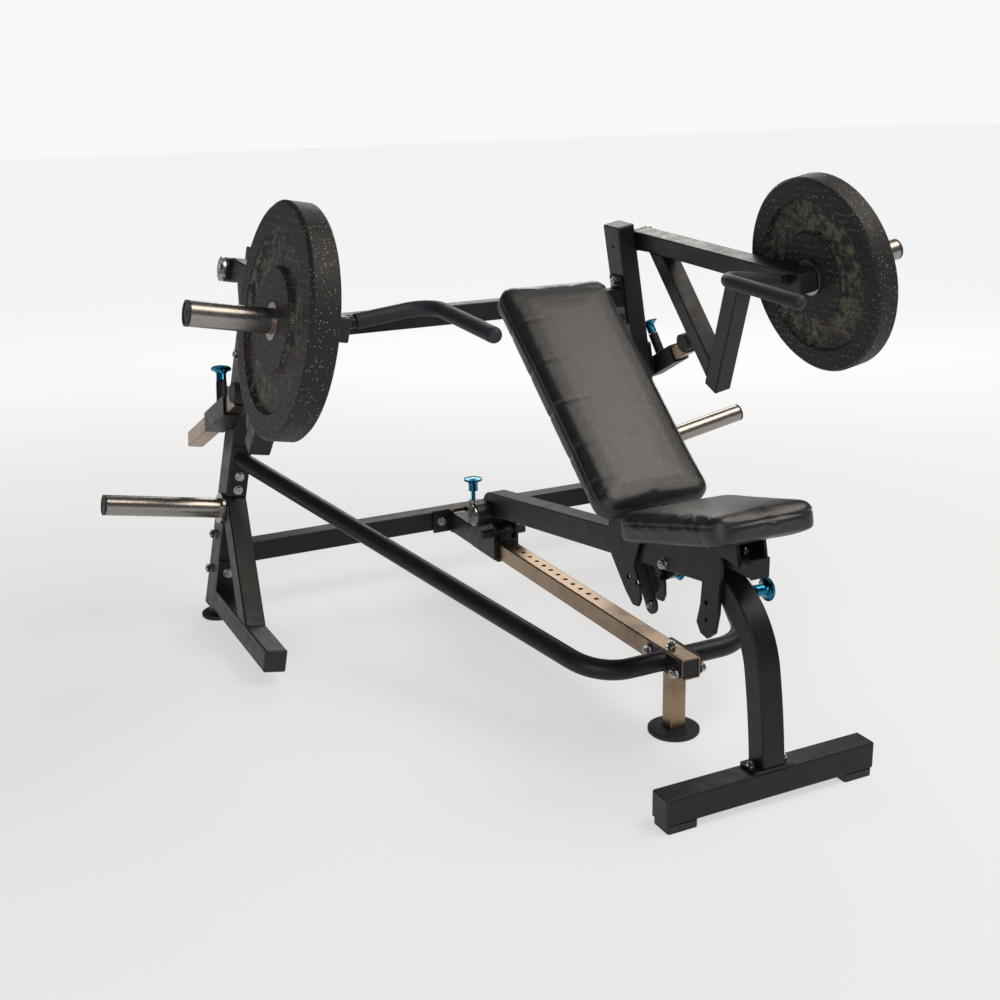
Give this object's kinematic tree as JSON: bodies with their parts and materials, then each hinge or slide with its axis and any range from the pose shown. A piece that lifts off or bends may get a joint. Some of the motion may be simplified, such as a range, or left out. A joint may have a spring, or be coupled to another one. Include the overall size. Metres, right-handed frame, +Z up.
{
  "type": "plate-loaded bench press machine",
  "caption": "Plate-loaded chest press machine: two hinged press arms on leaning side frames, and an adjustable padded bench that slides on a plated rail.",
  "frame": {"origin": "on the floor, under the middle of the machine's overall box", "axes": "+X to the user's left side of the machine seen from its front, +Y from the bench's foot to the side frames, +Z up"},
  "size_m": [1.8744, 1.6058, 1.0964],
  "materials": {
    "black_paint": "satin-matt black powder coat",
    "plated_tube": "bright zinc plate, softly tinted",
    "bright_horn": "brushed along the turn",
    "zinc_hardware": "zinc plated",
    "moulded_cap": "fine moulded grain",
    "floor_rubber": "moulded rubber",
    "grip_rubber": "fine matt rubber sleeve",
    "fleck_rubber": "crumb rubber with light flecks",
    "steel_ring": "turned steel bush",
    "blue_anodised": "blue anodised and polished",
    "pad_vinyl": "grained black vinyl, stitched"
  },
  "bodies": {
    "frame": {"upper_crossbar": "black_paint", "lower_crossbar": "black_paint", "slide_rail": "plated_tube", "rail_brackets": "black_paint", "rail_leg": "plated_tube", "floor_pads": "floor_rubber", "storage_horns": "bright_horn", "frame_caps": "moulded_cap", "arm_pivot_pins": "zinc_hardware", "frame_bolts": "zinc_hardware", "right_upright": "black_paint", "right_base_tube": "black_paint", "right_front_leg": "black_paint", "right_guard_tube": "black_paint", "right_stop_sleeve": "black_paint", "left_upright": "black_paint", "left_base_tube": "black_paint", "left_front_leg": "black_paint", "left_guard_tube": "black_paint", "left_stop_sleeve": "black_paint"},
    "carriage": {"carriage": "black_paint", "carriage_fittings": "zinc_hardware", "rest_bar": "floor_rubber"},
    "slide_pin": {"slide_pin": "blue_anodised"},
    "bench": {"spine": "black_paint", "curved_leg": "black_paint", "front_foot": "black_paint", "foot_caps": "moulded_cap", "pin_bracket": "black_paint", "bench_fittings": "zinc_hardware"},
    "backrest": {"backrest_frame": "black_paint", "backrest_pad": "pad_vinyl"},
    "seat": {"seat_frame": "black_paint", "seat_pad": "pad_vinyl"},
    "backrest_pin": {"backrest_pin": "blue_anodised"},
    "seat_pin": {"seat_pin": "blue_anodised"},
    "right_arm": {"right_arm_beam": "black_paint", "right_arm_front_strut": "black_paint", "right_arm_rear_strut": "black_paint", "right_arm_caps": "moulded_cap", "right_arm_handle": "black_paint", "right_handle_grip": "grip_rubber", "right_loading_horn": "bright_horn"},
    "right_plate": {"right_weight_plate": "fleck_rubber", "right_plate_ring": "steel_ring"},
    "right_stop": {"right_stop_tube": "plated_tube", "right_stop_bumper": "floor_rubber"},
    "right_stop_pin": {"right_stop_pin": "blue_anodised"},
    "left_arm": {"left_arm_beam": "black_paint", "left_arm_front_strut": "black_paint", "left_arm_rear_strut": "black_paint", "left_arm_caps": "moulded_cap", "left_arm_handle": "black_paint", "left_handle_grip": "grip_rubber", "left_loading_horn": "bright_horn"},
    "left_plate": {"left_weight_plate": "fleck_rubber", "left_plate_ring": "steel_ring"},
    "left_stop": {"left_stop_tube": "plated_tube", "left_stop_bumper": "floor_rubber"},
    "left_stop_pin": {"left_stop_pin": "blue_anodised"}
  },
  "joints": [
    {"name": "right_arm_press", "type": "hinge", "parent": "frame", "child": "right_arm", "pos_m": [0.51088, 0.60012, 0.87371], "axis": [-0.9834, 0, -0.1817], "range_deg": [0, 60]},
    {"name": "right_plate_slide", "type": "slide", "parent": "right_arm", "child": "right_plate", "axis": [0.9834, 0, 0.1817], "range_m": [0, 0.19]},
    {"name": "right_stop_slide", "type": "slide", "parent": "frame", "child": "right_stop", "axis": [-0.0797, -0.8988, 0.4311], "range_m": [-0.05, 0.025]},
    {"name": "right_stop_pin_pull", "type": "slide", "parent": "frame", "child": "right_stop_pin", "axis": [-0.1633, 0.4384, 0.8838], "range_m": [0, 0.012], "stiffness_N_per_m": 600, "springref_m": -0.004},
    {"name": "left_arm_press", "type": "hinge", "parent": "frame", "child": "left_arm", "pos_m": [-0.51088, 0.60012, 0.87371], "axis": [-0.9834, 0, 0.1817], "range_deg": [0, 60]},
    {"name": "left_plate_slide", "type": "slide", "parent": "left_arm", "child": "left_plate", "axis": [-0.9834, 0, 0.1817], "range_m": [-0.03, 0.16]},
    {"name": "left_stop_slide", "type": "slide", "parent": "frame", "child": "left_stop", "axis": [0.0797, -0.8988, 0.4311], "range_m": [-0.05, 0.025]},
    {"name": "left_stop_pin_pull", "type": "slide", "parent": "frame", "child": "left_stop_pin", "axis": [0.1633, 0.4384, 0.8838], "range_m": [0, 0.012], "stiffness_N_per_m": 600, "springref_m": -0.004},
    {"name": "bench_slide", "type": "slide", "parent": "frame", "child": "carriage", "axis": [0, -1, 0], "range_m": [0, 0.648]},
    {"name": "slide_pin_pull", "type": "slide", "parent": "carriage", "child": "slide_pin", "axis": [0, 0, 1], "range_m": [0, 0.012], "stiffness_N_per_m": 600, "springref_m": -0.004},
    {"name": "bench_lift", "type": "hinge", "parent": "carriage", "child": "bench", "pos_m": [0, 0.36212, 0.253], "axis": [-1, 0, 0], "range_deg": [0, 25]},
    {"name": "backrest_tilt", "type": "hinge", "parent": "bench", "child": "backrest", "pos_m": [0, -0.36188, 0.428], "axis": [1, 0, 0], "range_deg": [-40, 30]},
    {"name": "backrest_pin_pull", "type": "slide", "parent": "bench", "child": "backrest_pin", "axis": [1, 0, 0], "range_m": [0, 0.012], "stiffness_N_per_m": 600, "springref_m": -0.004},
    {"name": "seat_tilt", "type": "hinge", "parent": "bench", "child": "seat", "pos_m": [0, -0.43188, 0.427], "axis": [-1, 0, 0], "range_deg": [0, 18]},
    {"name": "seat_pin_pull", "type": "slide", "parent": "bench", "child": "seat_pin", "axis": [1, 0, 0], "range_m": [0, 0.012], "stiffness_N_per_m": 600, "springref_m": -0.004}
  ]
}
